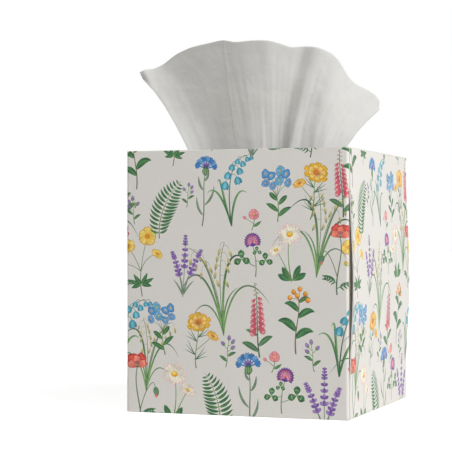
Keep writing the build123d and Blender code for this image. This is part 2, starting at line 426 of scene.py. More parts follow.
def oat_grass():
    """Clump of long blades with nodding seed heads."""
    inks = []
    for tip, mid, breadth in (
        ((-20, 22), (-9, 42), 1.5), ((19, 30), (6, 50), 1.7), ((-9, 39), (-4, 34), 1.3),
        ((25, 12), (14, 34), 1.4), ((10, 22), (3, 20), 1.2), ((-15, 10), (-7, 22), 1.1),
    ):
        path = curve((0, 0), (mid[0] * 0.2, mid[1] * 0.5), mid, tip, steps=20)
        inks += blade(path, breadth, "green_pale", "green_deep")
    for tip, mid in (((5, 44), (1, 36)), ((-13, 43), (-4, 38))):
        stem = curve((0, 0), (0, 22), mid, tip, steps=18)
        inks += stroke(stem, 0.4, 0.25, "sage_deep")
        for k, at in enumerate((9, 11, 12, 13, 14, 15, 16, 17)):
            side = -1 if k % 2 else 1
            drop = stem[at] + (side * 2.6, -2.4)
            inks += stroke(curve(stem[at], stem[at] + (side * 2.2, 0.8), drop, steps=6), 0.16, 0.12)
            seed = ("stem_brown", "yellow_pale", "sage")
            inks += petal(drop, -90 + side * 16, 4.0, 1.3, *seed, 0.45, steps=6)
    return inks


def berry_sprig():
    """Woody sprig with broad paired leaves and a bunch of orange berries."""
    stem = curve((0, 0), (3, 14), (-2, 26), (1, 36), steps=18)
    inks = stroke(stem, 0.9, 0.5, "bark", "stem_brown")
    for at, side, length in ((4, -1, 13), (6, 1, 14), (10, -1, 12), (12, 1, 11), (15, -1, 8)):
        bend, tip = (side * length * 0.42, length * 0.62), (side * length * 0.9, length * 0.42)
        inks += side_leaf(stem[at], bend, tip, length * 0.36)
    for x, y in ((-3.6, 38.5), (0.2, 41.4), (4.2, 39.2), (6.4, 35.4), (-5.6, 34.6), (1.6, 37.0)):
        inks += stroke(curve((0.6, 34), (x * 0.4, 36), (x, y - 1.2), steps=6), 0.3, 0.3, "stem_brown")
        inks += dot(x, y, 3.4, 3.4, "orange_deep", "orange", 12)
        inks += dot(x - 0.2, y + 0.2, 2.7, 2.6, "orange", "yellow")
        inks += dot(x - 0.6, y + 0.7, 0.8, 0.6, "yellow_pale", "cream", 7)
        inks += dot(x, y - 1.5, 0.8, 0.5, "bark", "bark", 6)
    return inks


def forget_me_not():
    """Loose bunch of small sky-blue flowers with gold eyes."""
    heads = (
        (-6, 22), (-2.4, 26), (2.2, 23), (-1.6, 20.4), (6.4, 26.4), (3.0, 28.4), (7.2, 21.4), (-5.8, 27.2),
    )
    stem = curve((0, 0), (1.5, 8), (0.3, 14))
    inks = stroke(stem, 0.7, 0.5, "stem", "green_pale")
    for x, y in heads:
        inks += stroke(curve((0.3, 13.8), (x * 0.25, 18), (x, y), steps=8), 0.3, 0.2, "stem", "sage")
    for at, side in ((2, 1), (4, -1), (7, 1), (9, -1)):
        inks += side_leaf(stem[at], (side * 4, 4.2), (side * (9 - at * 0.5), 5), 2.7)
    for k, (x, y) in enumerate(heads):
        near, far = (("blue", "blue_pale"), ("blue_pale", "blue"), ("aqua", "blue_pale"))[k % 3]
        bloom = ring(5, 2.5, 2.5, "blue_deep", near, far, 20 * k, 0.1, 0.66)
        bloom += dot(0, 0, 1.2, 1.2, "yellow_deep", "yellow_pale", 8)
        inks += placed(bloom, x, y, 13 * k, 1.0 + 0.1 * (k % 3), squash=0.86)
    return inks


def foxglove():
    """Tapering spike of rose bells with pale mouths over a rosette, green at the tip."""
    stem = curve((0, 0), (-1.5, 18), (2, 34), (0, 48), steps=32)
    inks = stroke(stem, 1.0, 0.4, "green_deep")
    for at, side, length in ((2, -1, 13), (4, 1, 12), (8, -1, 9), (10, 1, 7)):
        bend, tip = (side * length * 0.5, length * 0.5), (side * length * 0.85, length * 0.5)
        inks += side_leaf(stem[at], bend, tip, length * 0.3, "sage_deep", "green", "sage_pale")
    green, rose = ("sage_deep", "green_pale", "rose_pale"), ("rose_deep", "rose_deep", "rose")
    lip = dot(0, 0, 3.3, 2.1, "rose_pale", "rose") + dot(0, 0.1, 2.3, 1.2, "rose_deep", "cream")
    for k, at in enumerate(range(30, 11, -2)):
        size = 0.42 + 0.075 * k
        for side in (-1, 1):
            foot = stem[at] + (side * 0.3, 0.6 if side > 0 else -0.4)
            angle = -90 + side * (52 - 1.6 * k)
            if k < 3:
                inks += petal(foot, angle, 3.4 * size, 1.9 * size, *green, 0.5, steps=6)
            else:
                inks += petal(foot, angle, 6.4 * size, 3.7 * size, *rose, 0.7)
                inks += placed(lip, *(foot + heading(angle) * 5.6 * size), angle + 90, size)
    return inks


def coreopsis():
    """Toothed gold rays round an orange heart, with thread-like leaves."""
    stem = curve((0, 0), (-3, 9), (1, 20), (-1, 27))
    side_stem = curve(stem[4], (5, 16), (8.5, 20), steps=8)
    inks = stroke(stem, 0.7, 0.5, "stem", "green_pale") + stroke(side_stem, 0.4, 0.3)
    for at, side in ((2, 1), (3, -1), (6, -1), (7, 1)):
        for lift in (3, 6, 9):
            bend, tip = stem[at] + (side * 3, lift * 0.4), stem[at] + (side * (9 - lift * 0.35), lift)
            inks += blade(curve(stem[at], bend, tip, steps=8), 0.7, "green_deep", "green")
    bloom = ring(9, 7.2, 4.0, "yellow_deep", "yellow_deep", "yellow", 8, 0.8, 0.72, 0.1)
    bloom += ring(8, 5.2, 3.2, "yellow_deep", "orange", "yellow_pale", 26, 0.8, 0.7, 0.1)
    bloom += dot(0, 0, 4.0, 4.0, "orange_deep", "orange", 14)
    bloom += stamens(6, 1.05, 1.1, 0.8, "bark", "yellow")
    for tip, size, squash, lean in ((stem[-1], 1.0, 0.78, 12), (side_stem[-1], 0.55, 0.6, -26)):
        inks += placed(bloom, *tip, lean, size, squash=squash)
    return inks


def bud_sprig():
    """Short sprig of closed violet buds."""
    stem = curve((0, 0), (1.2, 4), (-0.6, 8), (0.4, 12), steps=10)
    inks = stroke(stem, 0.5, 0.3, "stem", "green_pale")
    for at, side in ((2, -1), (4, 1)):
        inks += side_leaf(stem[at], (side * 2.4, 2.4), (side * 4.4, 2.6), 1.6, steps=8)
    for at, side, lean in ((6, 1, 42), (7, -1, 138), (8, 1, 58), (9, 0, 92)):
        tip = stem[at] + (side * 1.6, 1.2)
        inks += stroke(curve(stem[at], stem[at] + (side * 1.2, 0.2), tip, steps=5), 0.25, 0.25)
        inks += petal(tip, lean, 3.0, 1.9, *tones("violet"), 0.45, steps=7)
        inks += petal(tip, lean, 1.3, 1.3, *tones("green"), 0.5, steps=5)
    return inks


def loose_blossom():
    """One rose-pink blossom and its bud on a short stalk."""
    stem = curve((0, 0), (1.6, 3.5), (0.4, 8), steps=8)
    inks = stroke(stem, 0.45, 0.35) + stroke(curve(stem[3], (-1.6, 5.0), (-3.4, 5.4), steps=6), 0.3, 0.25)
    inks += petal((-3.2, 5.3), 150, 2.4, 1.6, *tones("rose"), 0.5, steps=7)
    inks += leaf(curve(stem[2], (3.0, 3.2), (4.6, 5.2), steps=8), 1.5)
    bloom = ring(5, 3.0, 3.0, *tones("rose"), 18, 0.1, 0.68, 0.05)
    bloom += dot(0, 0, 1.3, 1.3, "yellow_deep", "yellow_pale", 8)
    return inks + placed(bloom, *stem[-1], 8, 1.0, squash=0.85)


# Where each plant stands on the blank: foot across and up in millimetres, lean in degrees, size, mirrored.
# Heights above the walls run on over the top
LAYOUT = (
    (oat_grass, 50, 38, 6, 1.0, False), (oat_grass, 96, 66, -7, 0.95, True),
    (oat_grass, 10, 10, -4, 0.8, True), (poppy, 7, -8, 4, 0.8, False), (daisy, 24, -4, -5, 0.85, True),
    (fern, 47, -11, -2, 0.76, True), (cornflower, 64, -7, 3, 0.84, False),
    (clover, 79, 2, -6, 0.85, True), (lavender, 100, -9, 3, 0.8, False),
    (forget_me_not, 20, 28, 5, 0.82, True), (coreopsis, 36, 22, -5, 0.82, False),
    (foxglove, 68, 28, 4, 0.74, False), (berry_sprig, 86, 30, -4, 0.74, True),
    (bluebell, 107, 20, -4, 0.78, False), (buttercup, 8, 56, 5, 0.8, False),
    (lavender, 29, 56, -6, 0.72, True), (clover, 66, 66, 5, 0.82, False),
    (daisy, 84, 64, 6, 0.82, False), (poppy, 106, 58, -4, 0.72, True), (fern, 17, 84, -8, 0.72, False),
    (cornflower, 39, 90, -4, 0.76, True), (bluebell, 54, 90, 6, 0.72, False),
    (forget_me_not, 77, 92, 3, 0.84, False), (coreopsis, 93, 93, -6, 0.82, True),
    (foxglove, 109, 94, 3, 0.66, True), (berry_sprig, 5, 108, 5, 0.66, False),
    (buttercup, 24, 119, -5, 0.68, True), (clover, 44, 126, 4, 0.8, True),
    (lavender, 64, 122, -4, 0.64, False), (daisy, 78, 126, 6, 0.78, True),
    (poppy, 93, 122, -3, 0.62, False), (cornflower, 106, 134, 4, 0.66, True),
    (forget_me_not, 7, 148, 4, 0.8, False), (foxglove, 4, 176, 2, 0.6, True),
    (fern, 107, 170, -4, 0.62, True), (bluebell, 6, 207, -4, 0.6, False),
    (buttercup, 30, 207, 5, 0.68, False), (oat_grass, 46, 207, -5, 0.6, False),
    (coreopsis, 62, 210, 4, 0.8, True), (lavender, 79, 208, -5, 0.66, False),
    (poppy, 95, 202, 4, 0.66, True), (clover, 109, 212, -4, 0.8, False),
    (bud_sprig, 51, 23, -6, 0.95, False), (bud_sprig, 95, 22, 5, 0.95, True),
    (loose_blossom, 74, 21, -8, 0.95, False), (bud_sprig, 4, 91, 4, 0.85, True),
    (loose_blossom, 64, 88, -6, 0.95, False), (bud_sprig, 31, 99, -5, 0.75, False),
)


def meadow():
    """Every shape of the print on the unrolled blank, repeated round the walls."""
    drawn = {plant: plant() for plant in dict.fromkeys(row[0] for row in LAYOUT)}
    inks = []
    for plant, x, y, turn, size, flip in LAYOUT:
        for shift in (-TILE, 0.0, TILE):
            inks += placed(drawn[plant], x + shift, y, turn, size, flip)
    return inks


# Points of the print closer than this many millimetres are one point
MERGED = 1e-4

# The liner's plain back lies this many millimetres off the card. Its back and edges have this linear colour
BACK_LIFT = 0.01
CUT_EDGE = (0.80, 0.77, 0.73, 0.0)

# Shares of the bake's square: a margin, the print and its start, and a strip for the edges and the back
BAKE_MARGIN = 0.01
BAKE_PRINT = (0.98, 0.93)
BAKE_PRINT_START = (0.0, 0.05)
BAKE_STRIP = (0.98, 0.03)


def triangulated(points, edges, loops):
    """A plane cut along edges and loops: points, triangles, old numbers of points, loops over triangles."""
    found = geometry.delaunay_2d_cdt([Vector(p) for p in points], edges, loops, 0, MERGED, True)
    return np.array([tuple(p) for p in found[0]]), np.array(found[2]), found[3], found[5]


def kept_part(flat, triangles, inside):
    """Points and triangles of the part inside a shape, the points' old numbers, and the choice made."""
    middle = flat[triangles].mean(axis=1)
    chosen = inside(middle[:, 0], middle[:, 1])
    used, triangles = np.unique(triangles[chosen], return_inverse=True)
    return flat[used], triangles.reshape(-1, 3), used, chosen


def ruled_lines(box, across, up):
    """End points and edges of the lines at which a piece of card is bent or cut."""
    left, low, right, high = box
    points, edges = [], []
    for x in across:
        edges.append((len(points), len(points) + 1))
        points += [(x, low), (x, high)]
    for y in up:
        edges.append((len(points), len(points) + 1))
        points += [(left, y), (right, y)]
    return points, edges


def crossings(points, outline):
    """True for the points that lie inside an outline."""
    inside = np.zeros(len(points), bool)
    last = np.roll(outline, 1, axis=0)
    for (ax, ay), (bx, by) in zip(last, outline):
        spans = (ay > points[:, 1]) != (by > points[:, 1])
        with np.errstate(divide="ignore", invalid="ignore"):
            reach = (bx - ax) * (points[:, 1] - ay) / (by - ay) + ax
        inside ^= spans & (points[:, 0] < reach)
    return inside


def printed_sheet(inks, ground, box, across, up, hole=None):
    """A flat printed sheet: its points, triangles and the ink at each corner."""
    left, low, right, high = box
    points, edges = ruled_lines(box, across, up)
    if hole is not None:
        first = len(points)
        edges += [(first + i, first + (i + 1) % len(hole)) for i in range(len(hole))]
        points += [tuple(p) for p in hole]
    loops, shapes = [], []
    for ink in inks:
        outline = ink.outline
        low_corner, high_corner = outline.min(0), outline.max(0)
        if high_corner[0] < left or low_corner[0] > right or high_corner[1] < low or low_corner[1] > high:
            continue
        step = np.roll(outline, -1, axis=0)
        area = np.sum(outline[:, 0] * step[:, 1] - outline[:, 1] * step[:, 0])
        loops.append(list(range(len(points), len(points) + len(outline))))
        points += [tuple(p) for p in (outline if area > 0 else outline[::-1])]
        shapes.append(ink)
    flat, triangles, _, covers = triangulated(points, edges, loops)
    middle = flat[triangles].mean(axis=1)
    top = np.full(len(triangles), -1)
    under = [[] for _ in shapes]
    for t, ids in enumerate(covers):
        for i in ids:
            under[i].append(t)
    for i, found in enumerate(under):
        if found:
            found = np.array(found)
            top[found[crossings(middle[found], shapes[i].outline)]] = i
    colours = np.tile(np.array((*ground[:3], 0.0)), (len(triangles), 3, 1))
    for i, ink in enumerate(shapes):
        chosen = np.nonzero(top == i)[0]
        if len(chosen):
            colours[chosen] = ink.colours(flat[triangles[chosen]].reshape(-1, 2)).reshape(-1, 3, 4)
    return flat, triangles, colours


def new_piece(name, points, faces, material, smooth_angle=40):
    """A mesh object in the scene, from points in millimetres."""
    mesh = bpy.data.meshes.new(name)
    mesh.from_pydata((np.asarray(points) * MM).tolist(), [], [list(map(int, f)) for f in faces])
    mesh.materials.append(material)
    mesh.shade_smooth()
    mesh.set_sharp_from_angle(angle=math.radians(smooth_angle))
    piece = bpy.data.objects.new(name, mesh)
    bpy.context.scene.collection.objects.link(piece)
    return piece


def liner(name, sheet, inside, wrap, lines, thickness, material):
    """A thin closed printed liner: the sheet wrapped on the card, its edges, and a plain back."""
    flat, triangles, _, chosen = kept_part(*sheet[:2], inside)
    colours = sheet[2][chosen]
    pairs = np.concatenate((triangles[:, (0, 1)], triangles[:, (1, 2)], triangles[:, (2, 0)]))
    known = {tuple(p) for p in pairs.tolist()}
    border = sorted((a, b) for a, b in known if (b, a) not in known)
    rim = sorted({a for pair in border for a in pair})
    number = {a: i for i, a in enumerate(rim)}
    line_points, line_edges = lines
    first = len(rim)
    back_edges = [(number[a], number[b]) for a, b in border]
    back_edges += [(a + first, b + first) for a, b in line_edges]
    whole = triangulated([tuple(flat[a]) for a in rim] + line_points, back_edges, [])
    back_flat, back_triangles, used, _ = kept_part(*whole[:2], inside)
    at_back = {}
    for i, place in enumerate(used):
        for original in whole[2][place]:
            at_back.setdefault(original, i)
    shift = len(flat)
    points = np.concatenate((wrap(*flat.T, thickness), wrap(*back_flat.T, BACK_LIFT)))
    faces = triangles.tolist() + (back_triangles[:, ::-1] + shift).tolist()
    faces += [(b, a, at_back[number[a]] + shift, at_back[number[b]] + shift) for a, b in border]
    piece = new_piece(name, points, faces, material)
    mesh = piece.data
    loops = len(mesh.loops)
    front = len(triangles) * 3
    shade = np.tile(np.array(CUT_EDGE), (loops, 1))
    shade[:front] = colours.reshape(-1, 4)
    mesh.color_attributes.new("print", "FLOAT_COLOR", "CORNER").data.foreach_set("color", shade.ravel())
    corner = np.empty(loops, int)
    mesh.loops.foreach_get("vertex_index", corner)
    places = np.concatenate((flat, back_flat))[corner]
    low, high = flat.min(0), flat.max(0)
    share = (places - low) / (high - low)
    uv = BAKE_MARGIN + share * BAKE_PRINT + BAKE_PRINT_START
    uv[front:] = BAKE_MARGIN + share[front:] * BAKE_STRIP
    mesh.uv_layers.new(name="OFBake").data.foreach_set("uv", uv.ravel())
    return piece


def add_node(tree, kind, settings=None, inputs=None):
    """One shader node: settings go to its properties, and inputs to its sockets as values or links."""
    made = tree.nodes.new(kind)
    for key, value in (settings or {}).items():
        setattr(made, key, value)
    for key, value in (inputs or {}).items():
        if isinstance(value, bpy.types.NodeSocket):
            tree.links.new(value, made.inputs[key])
        else:
            made.inputs[key].default_value = value
    return made


def new_material(name):
    """An empty node material, its tree and places on the object to draw by."""
    material = bpy.data.materials.new(name)
    material.use_nodes = True
    tree = material.node_tree
    tree.nodes.clear()
    return material, tree, add_node(tree, "ShaderNodeTexCoord").outputs["Object"]


def noise_field(tree, place, size, detail, roughness=0.5, distortion=0.0):
    """Soft random tones whose features are about this many millimetres across."""
    return add_node(tree, "ShaderNodeTexNoise", None, {
        "Vector": place, "Scale": 1 / (size * MM), "Detail": detail, "Roughness": roughness,
        "Distortion": distortion,
    }).outputs["Fac"]


def stretched(tree, place, scale):
    """Places drawn out along an axis, for a grain."""
    return add_node(tree, "ShaderNodeMapping", None, {"Vector": place, "Scale": scale}).outputs["Vector"]


def ranged(tree, value, low, high, start=0.0, end=1.0, ease="LINEAR"):
    """A value carried from one range to another, and held at its ends."""
    return add_node(tree, "ShaderNodeMapRange", {"interpolation_type": ease}, {
        "Value": value, "From Min": start, "From Max": end, "To Min": low, "To Max": high,
    }).outputs["Result"]


def tinted(tree, colour, tone, share=1.0):
    """A colour multiplied by a tone, by a share."""
    return add_node(tree, "ShaderNodeMix", {"data_type": "RGBA", "blend_type": "MULTIPLY"}, {
        0: share, 6: colour, 7: tone,
    }).outputs[2]


def bumped(tree, height, strength, deep, **under):
    """The slopes of heights this many millimetres deep, on the slopes under them."""
    return add_node(tree, "ShaderNodeBump", None, {
        "Strength": strength, "Distance": deep * MM, "Height": height, **under,
    }).outputs["Normal"]


def add_surface(tree, inputs):
    """The shader that the eye sees, joined to the material's output."""
    shader = add_node(tree, "ShaderNodeBsdfPrincipled", None, inputs).outputs[0]
    add_node(tree, "ShaderNodeOutputMaterial", None, {"Surface": shader})


def offset_printed_boxboard():
    """Coated white boxboard, offset printed: smooth and satin, with inks that pool and thin like washes."""
    material, tree, place = new_material("offset_printed_boxboard")
    ink = add_node(tree, "ShaderNodeAttribute", {"attribute_name": "print"}).outputs
    # Washes: pools about 2 mm across and a finer grain, coarser than real paper tooth so that they show
    pools = noise_field(tree, place, 2.2, 3.0, 0.6)
    tooth = noise_field(tree, place, 0.5, 2.0)
    washed = tinted(tree, ink["Color"], ranged(tree, pools, 0.74, 1.22, 0.3, 0.7), ink["Alpha"])
    add_surface(tree, {
        "Base Color": tinted(tree, washed, ranged(tree, tooth, 0.965, 1.02, 0.3, 0.7)),
        "Roughness": ranged(tree, tooth, 0.42, 0.58),
        "IOR": 1.46,
        "Normal": bumped(tree, tooth, 0.06, 0.05),
    })
    return material


def die_cut_boxboard(edge_colour):
    """Uncoated side and cut edges of boxboard: matt grey-buff pulp with fine fibres and ply lines."""
    material, tree, place = new_material("die_cut_boxboard")
    fibre = noise_field(tree, stretched(tree, place, (1.0, 1.0, 0.25)), 0.7, 5.0, 0.7)
    toned = tinted(tree, edge_colour, ranged(tree, fibre, 0.8, 1.12, 0.25, 0.75))
    add_surface(tree, {
        "Base Color": tinted(tree, toned, ranged(tree, noise_field(tree, place, 6.0, 2.0), 0.92, 1.06)),
        "Roughness": 0.88,
        "IOR": 1.45,
        "Normal": bumped(tree, fibre, 0.25, 0.08),
    })
    return material


# Heights between which the gathered foot of the standing tissue opens out, and over which the painted light
# on it fades
PAINTED_LIGHT_START = HEIGHT - 6.0
PAINTED_LIGHT_END = HEIGHT + 26.0


def creped_tissue(name, colour, through, rumple, foot_painted_light=1.0):
    """Creped three-ply tissue: matt, soft white, finely ridged by creping and a little see-through."""
    material, tree, place = new_material(name)
    # Crepe ridges are 0.2 to 0.3 mm apart in real tissue, and drawn at 0.7 mm so that they show
    crepe = noise_field(tree, stretched(tree, place, (0.35, 0.35, 1.0)), 0.7, 3.0, 0.65)
    toned = tinted(tree, colour, ranged(tree, noise_field(tree, place, 9.0, 3.0), 0.965, 1.02, 0.3, 0.7))
    # Painted light: the colour is made lighter at the gathered foot and fades to its own value up the
    # tissue, against the shade of the opening
    height = add_node(tree, "ShaderNodeSeparateXYZ", None, {"Vector": place}).outputs["Z"]
    painted_foot_light = ranged(tree, height, foot_painted_light, 1.0, PAINTED_LIGHT_START * MM, PAINTED_LIGHT_END * MM, "SMOOTHSTEP")
    # Soft dents about 6 mm across, from handling
    dents = noise_field(tree, place, 6.0, 2.0, distortion=0.6)
    add_surface(tree, {
        "Base Color": tinted(tree, toned, painted_foot_light),
        "Roughness": 0.92,
        "IOR": 1.4,
        "Specular IOR Level": 0.2,
        "Subsurface Weight": through,
        "Subsurface Radius": (1.0, 1.0, 0.95),
        "Subsurface Scale": 0.6 * MM,
        "Normal": bumped(tree, crepe, 0.35, 0.12, Normal=bumped(tree, dents, 0.5, rumple)),
    })
    return material


def colour_property(name, description, code):
    """A colour setting that starts at an sRGB hex code."""
    return FloatVectorProperty(
        name=name, description=description, subtype="COLOR", size=4, min=0, max=1, default=linear(code),
    )


def length_property(name, description, size):
    """A length setting that starts at this many millimetres."""
    return FloatProperty(name=name, description=description, default=size * MM, unit="LENGTH")


def power_property(name, description, watts):
    """The setting of a lamp's power."""
    return FloatProperty(name=name, description=description, default=watts, min=0, unit="POWER")


class CartonSettings(bpy.types.PropertyGroup):
    """Sizes and colours of the printed carton."""

    liner: length_property("Liner", "Thickness of the printed liner", 0.08)
    bow: length_property("Bow", "How far the glued wall bows out at half height", 1.9)
    ground: colour_property("Ground", "Colour of the unprinted coated card", "E9E5DF")
    board: colour_property("Board", "Colour of the cut edges and the inside", "ECE7DE")


class TissueSettings(bpy.types.PropertyGroup):
    """Sizes and colours of the tissues."""

    depth: FloatProperty(
        name="Depth", description="Depth of the folds, as a share of the measured depth",
        default=0.9, min=0, max=1.5,
    )
    thickness: length_property("Thickness", "Thickness of the three plies", 0.2)
    columns: IntProperty(
        name="Columns", description="Points across the tissue", default=230, min=40, max=400,
    )
    rows: IntProperty(name="Rows", description="Points up the tissue", default=90, min=20, max=200)
    white: colour_property("White", "Colour of the tissue", "E2E1DD")
    through: FloatProperty(
        name="Through", description="Share of light that soaks into the tissue",
        default=0.6, min=0, max=1, subtype="FACTOR",
    )


class StageSettings(bpy.types.PropertyGroup):
    """Light, floor and view."""

    key: power_property("Key", "Power of the soft lamp at the right", 22.0)
    front: power_property("Front", "Power of the wide lamp behind the viewer", 11.4)
    back: power_property("Back", "Power of the wide lamp behind the object", 8.0)
    fill: FloatProperty(name="Fill", description="Strength of the light from all round", default=0.12, min=0)
    floor: colour_property("Floor", "Colour of the sweep", "F4F4F4")
    lens: FloatProperty(name="Lens", description="Focal length in millimetres", default=127.11, min=1)


def bow_at(height, bow):
    """How far the glued wall stands out at a height."""
    share = 1 - np.abs(height - HEIGHT / 2) / (HEIGHT / 2 - BOW_START)
    share = np.clip(share, 0, 1)
    return bow * share ** 2 * (3 - 2 * share)


def bent(distance, low, high, radius):
    """Place along a wall, how far behind its face and the turn of the card, round the folds at its ends."""
    over = np.maximum(distance - high, 0) - np.maximum(low - distance, 0)
    angle = np.clip(over / radius, -np.pi / 2, np.pi / 2)
    past = np.maximum(np.abs(over) - radius * np.pi / 2, 0)
    place = np.clip(distance, low, high) + radius * np.sin(angle)
    return place, radius * (1 - np.cos(angle)) + past, angle


def within(u, v, left, right, low, high):
    """True for the places inside a rectangle of the blank."""
    return (u > left) & (u < right) & (v > low) & (v < high)


def fold_lines(start, radius, turn, steps):
    """Places across a fold at which the card is bent."""
    return [start + radius * turn * i / steps for i in range(steps + 1)]


class TISSUEBOX_OT_carton(bpy.types.Operator):
    """Cover the card carton with its printed liners"""

    bl_idname = "tissue_box.carton"
    bl_label = "Printed Carton"

    def execute(self, context):
        settings = context.scene.tissue_box_carton
        thickness = settings.liner / MM
        bow = settings.bow / MM
        printed = offset_printed_boxboard()
        inks = meadow()
        ground = settings.ground
        quarter = math.pi / 4

        def cut(box, across, up, hole=None):
            return printed_sheet(inks, ground, box, across, up, hole), ruled_lines(box, across, up)

        def cover(name, inside, wrap, sheet, lines):
            piece = liner(name, sheet, inside, wrap, lines, thickness, printed)
            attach(piece, "root")

        # Front wall, round the seam fold to the glue flap, and half round the folds to the end flaps
        low_folds = fold_lines(0.0, FOLD_RADIUS, quarter, 3)
        seam_folds = fold_lines(FRONT_FLAT_END, FOLD_RADIUS, 2 * quarter, 6) + [FRONT_END]
        end_folds = fold_lines(FRONT_BOTTOM, FLAP_FOLD_RADIUS, quarter, 2) + [CARD]
        end_folds += [HEIGHT - place for place in reversed(end_folds)]
        box = (0.0, FRONT_BOTTOM, FRONT_END, FRONT_TOP)

        def on_front(u, v):
            wall = within(u, v, 0, FRONT_END, CARD, HEIGHT - CARD)
            return wall | within(u, v, HALF_FOLD, FRONT_FLAT_END, FRONT_BOTTOM, FRONT_TOP)

        def wrap_front(u, v, lift):
            x, back, turn = bent(u - HALF_FOLD - FLAT / 2, -FLAT / 2, FLAT / 2 - CARD, FOLD_RADIUS)
            half = HEIGHT / 2 - FLAP_FOLD_RADIUS
            rise, down, tip = bent(v - HEIGHT / 2, -half, half, FLAP_FOLD_RADIUS)
            x = x + lift * np.sin(turn)
            y = back + down - HALF_SIDE - lift * np.cos(turn) * np.cos(tip)
            return np.column_stack((x, y, HEIGHT / 2 + rise + lift * np.sin(tip)))

        cover("liner_front", on_front, wrap_front, *cut(box, low_folds + seam_folds, end_folds))

        # Other three walls share one sheet; the glued wall starts at its raw edge and bows
        folds = low_folds + [SEAM_EDGE] + fold_lines(TILE - HALF_FOLD, FOLD_RADIUS, quarter, 3)
        levels = [CARD, *np.linspace(BOW_START, HEIGHT - BOW_START, BOW_LEVELS), HEIGHT - CARD]
        shared = cut((0.0, CARD, TILE, HEIGHT - CARD), folds, levels)
        walls = (("right", (0, 1), (1, 0)), ("back", (-1, 0), (0, 1)), ("left", (0, -1), (-1, 0)))
        for name, along, out in walls:
            start = SEAM_EDGE if name == "right" else 0.0

            def on_wall(u, v):
                return within(u, v, start, TILE, CARD, HEIGHT - CARD)

            def wrap_wall(u, v, lift):
                place, back, turn = bent(u - TILE / 2, -FLAT / 2, FLAT / 2, FOLD_RADIUS)
                place = place + lift * np.sin(turn)
                reach = HALF_SIDE - back + lift * np.cos(turn)
                x = along[0] * place + out[0] * reach
                y = along[1] * place + out[1] * reach
                if name != "left":
                    x = x + bow_at(v, bow) * np.clip((x + HALF_SIDE) / FLAT, 0, 1)
                return np.column_stack((x, y, v))

            cover("liner_" + name, on_wall, wrap_wall, *shared)

        # Outer end flaps, both folded from the front wall: the top one has the opening
        rim = np.linspace(0, 2 * np.pi, OPENING_POINTS, endpoint=False)
        centre = TOP_FLAT_START + HALF_SIDE - FLAP_FOLD_RADIUS
        hole = np.column_stack((
            TILE / 2 + OPENING_HALF_LENGTH * np.cos(rim), centre + OPENING_HALF_WIDTH * np.sin(rim),
        ))
        side = TILE / 2 - HALF_SIDE + FLAP_SETBACK
        ends = [side, HALF_FOLD, FRONT_FLAT_END, TILE - side]
        fold = fold_lines(FRONT_TOP, FLAP_FOLD_RADIUS, quarter, 2) + [TOP_END]

        def on_flap(u, v):
            flap = within(u, v, side, TILE - side, TOP_FLAT_START, TOP_END)
            return flap | within(u, v, HALF_FOLD, FRONT_FLAT_END, FRONT_TOP, TOP_FLAT_START)

        def on_top(u, v):
            return on_flap(u, v) & ~crossings(np.column_stack((u, v)), hole)

        def on_base(u, v):
            return on_flap(u, HEIGHT - v)

        def wrap_top(u, v, lift):
            y, down, tip = bent(v - centre, FLAP_FOLD_RADIUS - HALF_SIDE, HALF_SIDE, FLAP_FOLD_RADIUS)
            y = y + lift * np.sin(tip)
            return np.column_stack((u - TILE / 2, y, HEIGHT - down + lift * np.cos(tip)))

        def wrap_base(u, v, lift):
            return wrap_top(u, HEIGHT - v, lift) * (1, 1, -1) + (0, 0, HEIGHT)

        cover("liner_top", on_top, wrap_top, *cut((side, FRONT_TOP, TILE - side, TOP_END), ends, fold, hole))
        box = (side, HEIGHT - TOP_END, TILE - side, HEIGHT - FRONT_TOP)
        cover("liner_base", on_base, wrap_base, *cut(box, ends, [HEIGHT - place for place in fold]))

        # The solid carton shows its cut edges and its inside
        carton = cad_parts["carton"]
        carton.data.materials.clear()
        carton.data.materials.append(die_cut_boxboard(settings.board))
        return {"FINISHED"}


# Folds of the standing tissue, each at its foot and at its spread: share across, millimetres behind its
# plane, and how softly it turns, as a share
FOLDS = (
    (0.00, 0.00, 6.6, 13.6, 0.03, 0.03), (0.12, 0.035, 7.2, 15.8, 0.03, 0.03),
    (0.23, 0.07, 5.6, 16.6, 0.03, 0.03), (0.27, 0.15, 4.4, 10.4, 0.03, 0.03),
    (0.31, 0.42, 3.0, -11.6, 0.022, 0.022), (0.39, 0.48, 1.8, -16.0, 0.022, 0.022),
    (0.46, 0.545, 1.0, -18.8, 0.022, 0.022), (0.565, 0.69, 2.2, -14.8, 0.02, 0.009),
    (0.62, 0.734, -2.6, -17.4, 0.007, 0.026), (0.675, 0.755, -1.4, -15.8, 0.016, 0.02),
    (0.76, 0.79, -3.4, -12.8, 0.022, 0.022), (0.82, 0.85, -5.4, -5.0, 0.03, 0.03),
    (1.00, 1.00, 2.6, 9.4, 0.03, 0.03),
)

# The folds deepen with this power of the height, and turn no sharper than this share
DEPTH_GROWTH = 1.7
LEAST_SOFT = 0.005

# Line along which the tissue was folded flat in the clip: shares across at foot and spread, height,
# share of the height that is left at the foot, and breadth
PRESSED_CREASE = (0.318, 0.385)
CREASE_HEIGHT = 0.22
CREASE_FOOT = 0.4
CREASE_BREADTH = 0.55

